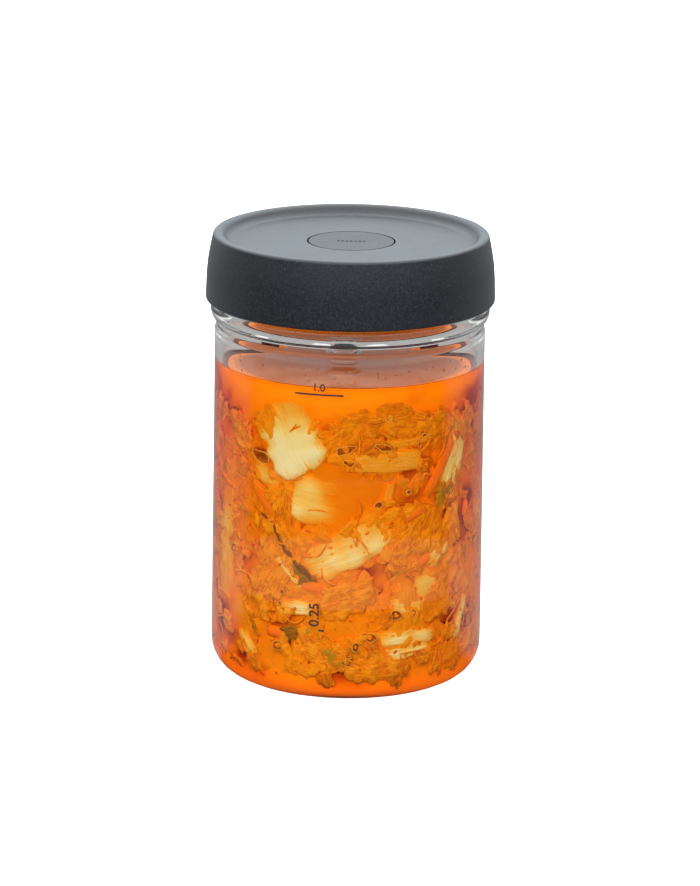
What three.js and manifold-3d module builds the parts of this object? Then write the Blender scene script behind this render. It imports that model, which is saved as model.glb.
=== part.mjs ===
// Fermentation jar of one litre: a glass jar with a grey push-on lid, a round
// insert and a steel stem in the lid, and a packed heap of cabbage pieces inside.
// Millimetres, +Z up. The origin is the middle of the flat base.
import * as THREE from "three";
import { mergeVertices } from "three/addons/utils/BufferGeometryUtils.js";
import Module from "manifold-3d";

const wasm = await Module();
wasm.setup();

// Jar body. Its wall widens slightly towards the base.
const BODY_RADIUS_LOW = 54.2;
const BODY_RADIUS_HIGH = 53.6;
const BODY_LOW_Z = 25;
const BODY_HIGH_Z = 132;
const WALL = 3.0;
const BASE_THICKNESS = 3.6;
const BASE_CORNER = 13.2;
const SHOULDER_Z = 138;

// Neck groove, ring under the lid, and the mouth inside the lid.
const NECK_RADIUS = 52.9;
const NECK_Z = 142.6;
const NECK_FLARE = 0.3;
const NECK_FLARE_HEIGHT = 1.4;
const RING_RADIUS = 55.2;
const RING_LOW_Z = 145.3;
const RING_HIGH_Z = 151.4;
const RING_EDGE = 1.2;
const MOUTH_RADIUS = 53.2;
const BORE_RADIUS = 49.6;
const BORE_LOW_Z = 143.5;
const MOUTH_TOP_Z = 170.8;
const MOUTH_EDGE = 1.2;

// Lid.
const LID_LOW_Z = 151.9;
const LID_RADIUS = 57.3;
const LID_TOP_RADIUS = 54.4;
const LID_TOP_Z = 178.8;
const LID_EDGE = 1.3;
const LID_BULGE_Z = 165;
const LID_BULGE_RADIUS = 56.85;
const LID_SHOULDER_Z = 172;
const LID_SHOULDER_RADIUS = 55.9;
const LID_TOP_LEAN = 12;
const LID_INNER_RADIUS = 53.7;
const LID_CEILING_Z = 171.2;
const LIP_WIDTH = 3.0;
const FLOOR_RADIUS = 48.4;
const FLOOR_Z = 175.2;

// Round insert in the lid's floor.
const INSERT_RADIUS = 16.9;
const INSERT_GAP = 0.6;
const INSERT_DEPTH = 2.0;
const INSERT_EDGE = 0.3;

// Steel stem under the lid, a little off the axis.
const STEM_RADIUS = 5.2;
const STEM_DISC_RADIUS = 7.15;
const STEM_DISC_LOW_Z = 130.3;
const STEM_DISC_HIGH_Z = 132.8;
const STEM_COLLAR_RADIUS = 5.4;
const STEM_LOW_Z = 128.3;
const STEM_X = -2.2;
const STEM_CHAMFER = 0.8;

// Heap of food: a core, with pieces fused on that reach nearly to the glass.
const CORE_RADIUS = 47.6;
const CORE_TOP_Z = 117;
const CORE_CORNER = 9;
const CORE_EDGE = 3;
const CORE_EDGE_HEIGHT = 6;
const CORE_CROWN = 2;
const CORE_CROWN_RINGS = 3;
const CORE_SIDE_RINGS = 6;
const CORE_SEGMENTS = 32;
const GLASS_CLEARANCE = 0.5;
const END_TAPER = 0.55;
const TOUCH_GAP = 0.3;
const LEAF_THICKNESS = 1.6;
const TOP_WAVE = 1.0;
const TOP_PIECES = 6;
const TOP_RADII = [22, 30];
const SPREAD_ROWS = [24, 50, 76, 101];
const SPREAD_PER_ROW = 6;
const SPREAD_FROM = 92;
const SPREAD_TURN = 176;
const HEAP_SEED = 4690;

const TURN_SEGMENTS = 48;
const INSERT_SEGMENTS = 48;
const STEM_SEGMENTS = 32;
const MERGE_DISTANCE = 1e-3;

// Points of an arc about (x, z), from one angle to another in degrees.
function arc(x, z, radius, from, to, steps) {
  const points = [];
  for (let i = 0; i <= steps; i += 1) {
    const angle = THREE.MathUtils.degToRad(from + ((to - from) * i) / steps);
    points.push(new THREE.Vector2(x + radius * Math.cos(angle), z + radius * Math.sin(angle)));
  }
  return points;
}

// A turned solid about +Z. The outline starts and ends on the axis and runs
// outwards along the bottom first.
function turned(outline, segments = TURN_SEGMENTS) {
  return new THREE.LatheGeometry(outline, segments).rotateX(Math.PI / 2);
}

function asSolid(geometry) {
  const bare = geometry.clone();
  bare.deleteAttribute("normal");
  bare.deleteAttribute("uv");
  const merged = mergeVertices(bare, MERGE_DISTANCE);
  return new wasm.Manifold(
    new wasm.Mesh({
      numProp: 3,
      vertProperties: merged.attributes.position.array,
      triVerts: new Uint32Array(merged.index.array),
    }),
  );
}

function asGeometry(solid) {
  const mesh = solid.getMesh();
  const geometry = new THREE.BufferGeometry();
  geometry.setAttribute("position", new THREE.BufferAttribute(mesh.vertProperties, 3));
  geometry.setIndex(new THREE.BufferAttribute(mesh.triVerts, 1));
  geometry.computeVertexNormals();
  return geometry;
}

const point = (x, z) => new THREE.Vector2(x, z);

// Outer radius of the body at a height above the base corner.
function bodyRadius(z) {
  const share = (z - BODY_LOW_Z) / (BODY_HIGH_Z - BODY_LOW_Z);
  return THREE.MathUtils.lerp(BODY_RADIUS_LOW, BODY_RADIUS_HIGH, THREE.MathUtils.clamp(share, 0, 1));
}

// Inner radius of the glass at a height, round its inner base corner too.
function innerRadius(z) {
  const corner = BASE_CORNER - WALL;
  const below = BASE_THICKNESS + corner - z;
  const rounding = below > 0 ? corner - Math.sqrt(Math.max(corner * corner - below * below, 0)) : 0;
  return bodyRadius(z) - WALL - rounding;
}

function glassOutline() {
  const low = BODY_RADIUS_LOW;
  const corner = BASE_CORNER - WALL;
  return [
    point(0, 0),
    ...arc(low - BASE_CORNER, BASE_CORNER, BASE_CORNER, -90, 0, 6),
    point(low, BODY_LOW_Z),
    point(BODY_RADIUS_HIGH, BODY_HIGH_Z),
    point(BODY_RADIUS_HIGH, SHOULDER_Z),
    point(NECK_RADIUS + NECK_FLARE, NECK_Z - NECK_FLARE_HEIGHT),
    point(NECK_RADIUS, NECK_Z),
    point(NECK_RADIUS + NECK_FLARE, NECK_Z + NECK_FLARE_HEIGHT),
    ...arc(RING_RADIUS - RING_EDGE, RING_LOW_Z + RING_EDGE, RING_EDGE, -80, 0, 2),
    ...arc(RING_RADIUS - RING_EDGE, RING_HIGH_Z - RING_EDGE, RING_EDGE, 0, 90, 1),
    point(MOUTH_RADIUS, RING_HIGH_Z + TOUCH_GAP),
    ...arc(MOUTH_RADIUS - MOUTH_EDGE, MOUTH_TOP_Z - MOUTH_EDGE, MOUTH_EDGE, 0, 90, 1),
    ...arc(BORE_RADIUS + MOUTH_EDGE, MOUTH_TOP_Z - MOUTH_EDGE, MOUTH_EDGE, 90, 180, 1),
    point(BORE_RADIUS, BORE_LOW_Z),
    point(BODY_RADIUS_HIGH - WALL, SHOULDER_Z - WALL),
    point(BODY_RADIUS_HIGH - WALL, BODY_HIGH_Z - WALL),
    point(low - WALL, BODY_LOW_Z),
    ...arc(low - BASE_CORNER, BASE_THICKNESS + corner, corner, 0, -90, 4),
    point(0, BASE_THICKNESS),
  ];
}

function lidOutline() {
  const pocket = INSERT_RADIUS + INSERT_GAP;
  return [
    point(0, LID_CEILING_Z),
    point(LID_INNER_RADIUS, LID_CEILING_Z),
    point(LID_INNER_RADIUS, LID_LOW_Z),
    ...arc(LID_RADIUS - LID_EDGE, LID_LOW_Z + LID_EDGE, LID_EDGE, -90, 0, 3),
    point(LID_BULGE_RADIUS, LID_BULGE_Z),
    point(LID_SHOULDER_RADIUS, LID_SHOULDER_Z),
    ...arc(LID_TOP_RADIUS - LID_EDGE, LID_TOP_Z - LID_EDGE, LID_EDGE, LID_TOP_LEAN, 90, 3),
    point(LID_TOP_RADIUS - LIP_WIDTH - LID_EDGE / 2, LID_TOP_Z),
    point(FLOOR_RADIUS, FLOOR_Z),
    point(pocket, FLOOR_Z),
    point(pocket, FLOOR_Z - INSERT_DEPTH),
    point(0, FLOOR_Z - INSERT_DEPTH),
  ];
}

function insertOutline() {
  const low = FLOOR_Z - INSERT_DEPTH + TOUCH_GAP;
  return [
    point(0, low),
    point(INSERT_RADIUS, low),
    ...arc(INSERT_RADIUS - INSERT_EDGE, FLOOR_Z - INSERT_EDGE, INSERT_EDGE, 0, 90, 1),
    point(0, FLOOR_Z),
  ];
}

function stemOutline() {
  return [
    point(0, STEM_LOW_Z),
    point(STEM_COLLAR_RADIUS - STEM_CHAMFER, STEM_LOW_Z),
    point(STEM_COLLAR_RADIUS, STEM_LOW_Z + STEM_CHAMFER),
    point(STEM_COLLAR_RADIUS, STEM_DISC_LOW_Z),
    point(STEM_DISC_RADIUS, STEM_DISC_LOW_Z),
    point(STEM_DISC_RADIUS, STEM_DISC_HIGH_Z),
    point(STEM_RADIUS, STEM_DISC_HIGH_Z),
    point(STEM_RADIUS, LID_CEILING_Z - TOUCH_GAP),
    point(0, LID_CEILING_Z - TOUCH_GAP),
  ];
}

// Repeatable random draws between two values.
function makeDraw(seed) {
  let state = seed;
  return (low, high) => {
    state = (Math.imul(state, 1664525) + 1013904223) >>> 0;
    return low + ((high - low) * state) / 2 ** 32;
  };
}

// How far the heap's side bulges at an angle and height.
function coreBulge(angle, z) {
  return 0.8 * Math.sin(3 * angle + z / 15) + 0.6 * Math.sin(7 * angle - z / 9);
}

// How high the heap's top lies above or below its mean.
function topBulge(x, y) {
  return 2 * Math.sin(x / 11 + 1) * Math.cos(y / 13) + 1.2 * Math.sin((x + y) / 6);
}

function heapCore() {
  const low = BASE_THICKNESS + TOUCH_GAP;
  const outline = [
    point(0, low),
    ...arc(CORE_RADIUS - CORE_CORNER, low + CORE_CORNER, CORE_CORNER, -90, 0, 3),
  ];
  for (let i = 1; i <= CORE_SIDE_RINGS; i += 1) {
    const share = i / CORE_SIDE_RINGS;
    const z = THREE.MathUtils.lerp(low + CORE_CORNER, CORE_TOP_Z - CORE_EDGE_HEIGHT, share);
    outline.push(point(CORE_RADIUS, z));
  }
  for (let i = 0; i <= CORE_CROWN_RINGS; i += 1) {
    const share = i / CORE_CROWN_RINGS;
    outline.push(point((CORE_RADIUS - CORE_EDGE) * (1 - share), CORE_TOP_Z + CORE_CROWN * Math.sqrt(share)));
  }
  const geometry = turned(outline, CORE_SEGMENTS);
  const places = geometry.attributes.position;
  for (let i = 0; i < places.count; i += 1) {
    const x = places.getX(i);
    const y = places.getY(i);
    const z = places.getZ(i);
    const upper = THREE.MathUtils.smoothstep(z, low + CORE_CORNER, low + 2 * CORE_CORNER);
    const stretch = 1 + (upper * coreBulge(Math.atan2(y, x), z)) / CORE_RADIUS;
    const lift = z >= CORE_TOP_Z - CORE_EDGE_HEIGHT ? topBulge(x, y) : 0;
    places.setXYZ(i, x * stretch, y * stretch, z + lift);
  }
  return asSolid(geometry);
}

// A closed thin sheet from a function that gives its front and back points.
function sheet(along, across, face) {
  const places = [];
  const index = [];
  const row = across + 1;
  const layer = (along + 1) * row;
  for (const side of [0, 1]) {
    for (let i = 0; i <= along; i += 1) {
      for (let j = 0; j <= across; j += 1) {
        places.push(...face(i / along, j / across, side).toArray());
      }
    }
  }
  const quad = (a, b, c, d) => index.push(a, b, c, a, c, d);
  for (let i = 0; i < along; i += 1) {
    for (let j = 0; j < across; j += 1) {
      const a = i * row + j;
      const b = a + row;
      quad(a, b, b + 1, a + 1);
      index.push(layer + a, layer + b + 1, layer + b, layer + a, layer + a + 1, layer + b + 1);
    }
  }
  for (let i = 0; i < along; i += 1) {
    const first = i * row;
    const last = first + across;
    quad(first, layer + first, layer + first + row, first + row);
    quad(last + row, layer + last + row, layer + last, last);
  }
  for (let j = 0; j < across; j += 1) {
    const end = along * row + j;
    quad(j + 1, layer + j + 1, layer + j, j);
    quad(end, layer + end, layer + end + 1, end + 1);
  }
  const geometry = new THREE.BufferGeometry();
  geometry.setAttribute("position", new THREE.Float32BufferAttribute(places, 3));
  geometry.setIndex(index);
  const solid = asSolid(geometry);
  return solid.volume() > 0 ? solid : asSolid(flipped(geometry));
}

function flipped(geometry) {
  const turnedFaces = geometry.clone();
  const index = turnedFaces.index.array;
  for (let i = 0; i < index.length; i += 3) {
    [index[i + 1], index[i + 2]] = [index[i + 2], index[i + 1]];
  }
  return turnedFaces;
}

// A piece that lies along the glass: angle 0 faces -Y, tilt turns it in the wall.
function wallPiece({ angle, z, tilt, length, width, thickness, wave, along, across, phase }) {
  const slope = THREE.MathUtils.degToRad(tilt);
  return sheet(along, across, (u, v, side) => {
    const taper = 1 - END_TAPER * (2 * u - 1) ** 2;
    const a = (u - 0.5) * length;
    const b = (v - 0.5) * width * taper;
    const height = z + a * Math.sin(slope) + b * Math.cos(slope);
    const reach = innerRadius(height) - GLASS_CLEARANCE;
    const shift = (a * Math.cos(slope) - b * Math.sin(slope)) / reach;
    const turn = THREE.MathUtils.degToRad(angle) + shift;
    const crinkle = 0.5 - 0.5 * Math.cos(phase + u * along * 2.1 + v * 2.4);
    const radius = reach - wave * crinkle - side * thickness;
    return new THREE.Vector3(radius * Math.sin(turn), -radius * Math.cos(turn), height);
  });
}

// A leaf that lies on top of the heap.
function topPiece({ x, y, tilt, length, width, phase }) {
  const slope = THREE.MathUtils.degToRad(tilt);
  return sheet(LEAF.along, LEAF.across, (u, v, side) => {
    const a = (u - 0.5) * length;
    const b = (v - 0.5) * width * (1 - END_TAPER * (2 * u - 1) ** 2);
    const px = x + a * Math.cos(slope) - b * Math.sin(slope);
    const py = y + a * Math.sin(slope) + b * Math.cos(slope);
    const crinkle = TOP_WAVE * Math.sin(phase + u * LEAF.along * 1.7 + v * 2);
    const base = CORE_TOP_Z + CORE_CROWN + topBulge(px, py);
    return new THREE.Vector3(px, py, base + crinkle + (side ? -LEAF_THICKNESS : LEAF_THICKNESS / 2));
  });
}

const LEAF = { thickness: LEAF_THICKNESS, wave: 3.2, along: 5, across: 2 };
const RIB = { thickness: 4, wave: 1.2, along: 4, across: 1 };
const STRIP = { thickness: 3.5, wave: 0.6, along: 3, across: 1 };

// The pieces that show most at the front: angle in degrees, height, tilt, length and width.
const FRONT_PIECES = [
  { ...RIB, angle: -28, z: 107, tilt: -42, length: 42, width: 17 },
  { ...LEAF, angle: 7, z: 110, tilt: 8, length: 29, width: 18 },
  { ...LEAF, angle: 36, z: 110, tilt: -12, length: 26, width: 13 },
  { ...RIB, angle: 19, z: 98, tilt: 4, length: 29, width: 9 },
  { ...RIB, angle: 3.5, z: 65, tilt: 35, length: 36, width: 17 },
  { ...LEAF, angle: -17, z: 82, tilt: -20, length: 20, width: 12 },
  { ...STRIP, angle: -43, z: 79, tilt: 52, length: 17, width: 5 },
  { ...LEAF, angle: 56, z: 95, tilt: 70, length: 24, width: 13 },
  { ...LEAF, angle: -28, z: 67, tilt: 80, length: 30, width: 12 },
  { ...STRIP, angle: -23, z: 53, tilt: 70, length: 11, width: 6 },
  { ...STRIP, angle: -16, z: 47, tilt: 30, length: 12, width: 5 },
  { ...STRIP, angle: -4, z: 20, tilt: -20, length: 12, width: 7 },
  { ...RIB, angle: 29, z: 24, tilt: 12, length: 30, width: 13 },
  { ...RIB, angle: 62, z: 28, tilt: 82, length: 20, width: 9 },
  { ...RIB, angle: -65, z: 52, tilt: 88, length: 44, width: 8 },
  { ...LEAF, angle: 38, z: 44, tilt: -30, length: 30, width: 16 },
  { ...LEAF, angle: 40, z: 76, tilt: 25, length: 26, width: 14 },
  { ...LEAF, angle: -30, z: 30, tilt: -35, length: 30, width: 15 },
];

// Leaves, ribs and strips spread evenly over the rest of the wall, in rows.
function spreadPieces(draw) {
  const pieces = [];
  const kinds = [LEAF, RIB, LEAF, STRIP];
  for (const [level, z] of SPREAD_ROWS.entries()) {
    for (let i = 0; i < SPREAD_PER_ROW; i += 1) {
      const kind = kinds[(i + level) % kinds.length];
      const short = kind === STRIP;
      pieces.push({
        ...kind,
        angle: SPREAD_FROM + (i * SPREAD_TURN) / (SPREAD_PER_ROW - 1) + draw(-7, 7),
        z: z + draw(-5, 5),
        tilt: draw(-75, 75),
        length: short ? draw(12, 20) : draw(22, 34),
        width: short ? draw(4, 6) : draw(10, 17),
      });
    }
  }
  return pieces;
}

function heap() {
  const draw = makeDraw(HEAP_SEED);
  let solid = heapCore();
  for (const piece of [...FRONT_PIECES, ...spreadPieces(draw)]) {
    solid = solid.add(wallPiece({ ...piece, phase: draw(0, 6) }));
  }
  for (let i = 0; i < TOP_PIECES; i += 1) {
    const turn = (i * 2 * Math.PI) / TOP_PIECES;
    const radius = TOP_RADII[i % TOP_RADII.length];
    solid = solid.add(
      topPiece({
        x: radius * Math.sin(turn),
        y: -radius * Math.cos(turn),
        tilt: draw(0, 180),
        length: draw(22, 30),
        width: draw(11, 16),
        phase: draw(0, 6),
      }),
    );
  }
  // The outer skin alone: hollows sealed behind leaves are filled.
  const bodies = solid.decompose().sort((a, b) => b.volume() - a.volume());
  return asGeometry(bodies[0]);
}

const glassMaterial = new THREE.MeshStandardMaterial({
  color: 0xf4f6f5,
  roughness: 0.04,
  metalness: 0,
  transparent: true,
  opacity: 0.25,
});
const lidMaterial = new THREE.MeshStandardMaterial({ color: 0x3a3d42, roughness: 0.5, metalness: 0 });
const insertMaterial = new THREE.MeshStandardMaterial({ color: 0x42464b, roughness: 0.45, metalness: 0 });
const steelMaterial = new THREE.MeshStandardMaterial({ color: 0xc9cbcc, roughness: 0.2, metalness: 1 });
const cabbageMaterial = new THREE.MeshStandardMaterial({ color: 0xe39a2a, roughness: 0.45, metalness: 0 });

function named(name, geometry, material) {
  const mesh = new THREE.Mesh(geometry, material);
  mesh.name = name;
  return mesh;
}

const jar = new THREE.Group();
jar.name = "fermentation_jar";
jar.add(
  named("glass_jar", turned(glassOutline()), glassMaterial),
  named("lid", turned(lidOutline()), lidMaterial),
  named("lid_insert", turned(insertOutline(), INSERT_SEGMENTS), insertMaterial),
  named("lid_stem", turned(stemOutline(), STEM_SEGMENTS).translate(STEM_X, 0, 0), steelMaterial),
  named("kimchi", heap(), cabbageMaterial),
);

export default jar;
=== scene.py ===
"""Dresses the fermentation jar: clear glass, grey lid, steel stem, and cabbage in orange brine.

Lengths below are millimetres in the row frame. The front of the jar faces -Y.
"""

import math
import random
from typing import NamedTuple

import bpy
import numpy as np
from bpy.props import FloatProperty, FloatVectorProperty, IntProperty, PointerProperty, StringProperty
from mathutils import Matrix, Vector


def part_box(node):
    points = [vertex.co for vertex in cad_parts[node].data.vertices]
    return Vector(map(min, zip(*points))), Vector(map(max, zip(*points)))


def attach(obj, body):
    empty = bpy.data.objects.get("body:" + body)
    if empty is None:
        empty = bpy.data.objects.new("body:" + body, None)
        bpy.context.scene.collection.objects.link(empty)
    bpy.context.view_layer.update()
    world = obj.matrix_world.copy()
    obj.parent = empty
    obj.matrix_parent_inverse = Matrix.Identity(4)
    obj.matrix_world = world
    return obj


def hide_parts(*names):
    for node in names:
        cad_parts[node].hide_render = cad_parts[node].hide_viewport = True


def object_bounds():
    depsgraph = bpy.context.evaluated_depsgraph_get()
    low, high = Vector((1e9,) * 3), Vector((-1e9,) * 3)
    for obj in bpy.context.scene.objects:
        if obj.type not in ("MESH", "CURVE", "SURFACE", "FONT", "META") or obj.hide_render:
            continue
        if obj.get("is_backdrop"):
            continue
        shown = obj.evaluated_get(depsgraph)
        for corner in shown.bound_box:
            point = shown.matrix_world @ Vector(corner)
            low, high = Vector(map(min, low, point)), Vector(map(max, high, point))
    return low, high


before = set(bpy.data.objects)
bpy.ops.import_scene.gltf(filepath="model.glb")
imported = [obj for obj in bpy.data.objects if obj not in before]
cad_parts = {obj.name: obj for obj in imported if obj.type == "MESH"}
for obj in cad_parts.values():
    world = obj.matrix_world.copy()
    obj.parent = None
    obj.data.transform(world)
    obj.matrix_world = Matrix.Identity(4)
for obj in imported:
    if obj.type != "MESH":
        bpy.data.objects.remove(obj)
CAD_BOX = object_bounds()

bl_info = {
    "name": "Fermentation Jar",
    "version": (1, 0, 0),
    "blender": (4, 5, 0),
    "location": "View3D > Sidebar > Jar",
    "description": "Builds a filled fermentation jar over its CAD frame",
    "category": "Object",
}

MM = 0.001

# The frame's own sizes, in millimetres.
JAR_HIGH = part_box("glass_jar")[1] / MM
LID_LOW, LID_HIGH = (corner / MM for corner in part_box("lid"))
INSERT_LOW, INSERT_HIGH = (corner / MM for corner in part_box("lid_insert"))
STEM_LOW, STEM_HIGH = (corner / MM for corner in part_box("lid_stem"))
RING_RADIUS = JAR_HIGH.x
MOUTH_TOP = JAR_HIGH.z
LID_RADIUS = LID_HIGH.x
STEM_X = (STEM_LOW.x + STEM_HIGH.x) / 2
STEM_DISC_RADIUS = (STEM_HIGH.x - STEM_LOW.x) / 2

# The jar, close to the frame's solids.
BODY_RADIUS_LOW = 54.2
BODY_RADIUS_HIGH = 53.6
BODY_LOW_Z = 25
BODY_HIGH_Z = 132
WALL = 3.0
BASE_THICKNESS = 3.6
BASE_CORNER = 13.2
SHOULDER_Z = 140.6
NECK_RADIUS = 52.9
NECK_LOW_Z = 142.0
NECK_HIGH_Z = 144.6
RING_LOW_Z = 145.2
RING_HIGH_Z = 151.6
MOUTH_RADIUS = 53.2
BORE_RADIUS = 49.6
BORE_LOW_Z = 143.2
BORE_TAPER_Z = 136.5

# Lid and stem, close to the frame's solids.
LID_CEILING_Z = 171.2
LID_INNER_RADIUS = 53.7
# How far the lid's side draws in, at which height, and how round it is there.
LID_SIDE = ((0.3, 161, 6), (0.7, 167, 4), (1.7, 172.8, 4))
LIP_OUTER_RADIUS = 54.3
LIP_INNER_RADIUS = 51.1
LID_FLOOR_RADIUS = 48.2
INSERT_GAP = 0.6
INSERT_DEPTH = 2.0
STEM_RADIUS = 5.2
STEM_COLLAR_RADIUS = 5.4
STEM_CHAMFER = 0.8
STEM_DISC_LOW_Z = 130.3
STEM_DISC_HIGH_Z = 132.8

# How finely round shapes are cut.
TURN_STEPS = 160
STEM_STEPS = 96

# How pieces that lie along the glass are made: gaps, the sizes of waves, and the grain's offset.
LEAST_DEPTH = 0.35
LEAST_THICKNESS = 0.15
FLOOR_GAP = 0.4
FRAY_SIZE = 1.6
SWAY_SIZE = 16
BEND_MIDDLE = 0.33
GRAIN_REACH = 90

# Where random pieces fall: degrees from the middle to the front's edge, and the front's usual share.
FRONT_EDGE = 92
FRONT_SHARE = 0.62

# The brine: how far it reaches into the wall, the meniscus at the glass, and the colour's density.
BRINE_BITE = 0.12
MENISCUS_HEIGHT = 1.5
MENISCUS_WIDTH = 3.2
MENISCUS_FALL = 0.75
BRINE_DENSITY = 490.0

# The print: how far it stands over the glass, and how deep its lines bite.
PRINT_LIFT = 0.06
PRINT_BITE = 0.02

# The photograph's camera, fitted to the jar's outline; angles are in radians.
CAMERA_BACK = 1637
CAMERA_UP = 539.3
CAMERA_SIDE = 0.65
CAMERA_PITCH = 0.2664
CAMERA_ROLL = 0.0144
FOCAL_PIXELS = 4251
PICTURE_HEIGHT = 886
SENSOR_WIDTH = 36

# The studio, in metres.
FLOOR_REACH = 40.0
LAMP_TARGET = Vector((0, 0, 0.09))


def whole(name, description, default):
    """A property that holds a whole number."""
    return IntProperty(name=name, description=description, default=default, min=0)


def colour(name, description, default):
    """A colour property, linear RGB."""
    return FloatVectorProperty(
        name=name, description=description, subtype="COLOR", size=3, min=0, max=1, default=default)


class JarSizes(bpy.types.PropertyGroup):
    """Sizes that a user may change."""

    brine_level: FloatProperty(
        name="Brine level", description="Height of the brine's surface over the base",
        default=126.9 * MM, unit="LENGTH")
    haze_depth: FloatProperty(
        name="Clear depth", description="How deep one sees into the brine from the glass",
        default=2.9 * MM, unit="LENGTH")
    leaf_count: whole("Leaves", "Number of crinkled leaves spread round the wall", 120)
    crumple_count: whole("Crumples", "Number of small crumpled leaf bits", 410)
    thread_count: whole("Threads", "Number of thin strands spread round the wall", 200)
    droplet_count: whole("Droplets", "Number of drops on the glass over the brine", 130)
    seed: whole("Seed", "Seed of the random draws", 4690)


class JarColours(bpy.types.PropertyGroup):
    """Colours that a user may change."""

    lid: colour("Lid", "Grey plastic of the lid", (0.0052, 0.0057, 0.007))
    steel: colour("Steel", "Polished steel of the stem", (0.72, 0.7, 0.69))
    haze: colour("Haze", "Cloudy brine behind the clear layer", (1.0, 0.43, 0.03))
    rib: colour("Rib", "Pale cabbage rib", (0.97, 0.9, 0.72))
    rib_shade: colour("Rib shade", "Yellow parts of a rib", (0.94, 0.44, 0.04))
    leaf: colour("Leaf", "Yellow cabbage leaf", (0.96, 0.36, 0.012))
    leaf_shade: colour("Leaf shade", "Orange parts of a leaf", (0.58, 0.11, 0.006))
    olive: colour("Olive", "Faded green leaf and scallion", (0.42, 0.27, 0.03))
    carrot: colour("Carrot", "Carrot strip", (0.95, 0.2, 0.012))
    chilli: colour("Chilli", "Red chilli flake", (0.62, 0.05, 0.005))
    print: colour("Print", "Dark print on the glass", (0.035, 0.012, 0.008))


class JarSettings(bpy.types.PropertyGroup):
    """All settings of the jar."""

    sizes: PointerProperty(type=JarSizes)
    colours: PointerProperty(type=JarColours)


class Value:
    """A shader socket that works in plain expressions."""

    def __init__(self, graph, socket):
        self.graph = graph
        self.socket = socket

    def maths(self, operation, first, second):
        return self.graph.node("ShaderNodeMath", {"operation": operation}, {0: first, 1: second})

    def __add__(self, other):
        return self.maths("ADD", self, other)

    def __radd__(self, other):
        return self.maths("ADD", other, self)

    def __sub__(self, other):
        return self.maths("SUBTRACT", self, other)

    def __rsub__(self, other):
        return self.maths("SUBTRACT", other, self)

    def __mul__(self, other):
        return self.maths("MULTIPLY", self, other)

    def __rmul__(self, other):
        return self.maths("MULTIPLY", other, self)


class Graph:
    """The nodes of one material or world."""

    def __init__(self, tree):
        self.tree = tree
        tree.nodes.clear()

    def node(self, kind, settings=None, inputs=None, output=0):
        made = self.tree.nodes.new(kind)
        for key, value in (settings or {}).items():
            if key == "stops":
                self.set_stops(made.color_ramp, value)
            else:
                setattr(made, key, value)
        for key, value in (inputs or {}).items():
            if isinstance(value, Value):
                self.tree.links.new(value.socket, made.inputs[key])
            else:
                made.inputs[key].default_value = value
        return Value(self, made.outputs[output]) if made.outputs else None

    @staticmethod
    def set_stops(ramp, stops):
        while len(ramp.elements) < len(stops):
            ramp.elements.new(1.0)
        for element, (place, shade) in zip(ramp.elements, stops):
            element.position = place
            element.color = (*shade, 1) if isinstance(shade, tuple) else (shade, shade, shade, 1)

    def mix(self, factor, first, second):
        """Mixes two colours."""
        inputs = {0: factor, 6: rgba(first), 7: rgba(second)}
        return self.node("ShaderNodeMix", {"data_type": "RGBA"}, inputs, 2)

    def ramp(self, factor, *stops):
        return self.node("ShaderNodeValToRGB", {"stops": stops}, {0: factor})

    def attribute(self, name, output="Fac"):
        return self.node("ShaderNodeAttribute", {"attribute_name": name}, output=output)

    def vectors(self, operation, first, second, output="Vector"):
        return self.node("ShaderNodeVectorMath", {"operation": operation}, {0: first, 1: second}, output)

    def axis(self, vector, name):
        """One of a vector's parts: X, Y or Z."""
        return self.node("ShaderNodeSeparateXYZ", None, {0: vector}, name)

    def ray(self, kind):
        """One for rays of a kind, such as Camera, and nought for others."""
        return self.node("ShaderNodeLightPath", output=f"Is {kind} Ray")

    def place(self, *scale):
        """Object coordinates, stretched."""
        return self.vectors("MULTIPLY", self.node("ShaderNodeTexCoord", output="Object"), scale)

    def along_grain(self, *scale):
        """A piece's own coordinates in millimetres, stretched along its grain."""
        return self.vectors("MULTIPLY", self.attribute("grain", "Vector"), scale)

    def noise(self, vector, scale=1.0, detail=3.0, roughness=0.5, distortion=0.0):
        inputs = {
            "Vector": vector, "Scale": scale, "Detail": detail,
            "Roughness": roughness, "Distortion": distortion,
        }
        return self.node("ShaderNodeTexNoise", None, inputs)

    def bump(self, height, distance, strength=1.0):
        inputs = {"Strength": strength, "Distance": distance, "Height": height}
        return self.node("ShaderNodeBump", None, inputs)

    def plastic(self, **inputs):
        """A Principled shader; underscores in names stand for spaces."""
        named = {key.replace("_", " "): value for key, value in inputs.items()}
        return self.node("ShaderNodeBsdfPrincipled", None, named)

    def surface(self, shader, volume=None):
        links = {"Surface": shader}
        if volume is not None:
            links["Volume"] = volume
        self.node("ShaderNodeOutputMaterial", None, links)


def rgba(value):
    """A colour with alpha, from three parts; a socket stays as it is."""
    return value if isinstance(value, Value) else (*value, 1)


def scaled(shade, share):
    """A colour made darker or lighter by a share."""
    return tuple(share * part for part in shade)


def material(name):
    """A new material and its graph."""
    made = bpy.data.materials.new(name)
    made.use_nodes = True
    return made, Graph(made.node_tree)


def settings():
    return bpy.context.scene.jar_settings


def tint(name):
    return tuple(getattr(settings().colours, name))


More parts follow.
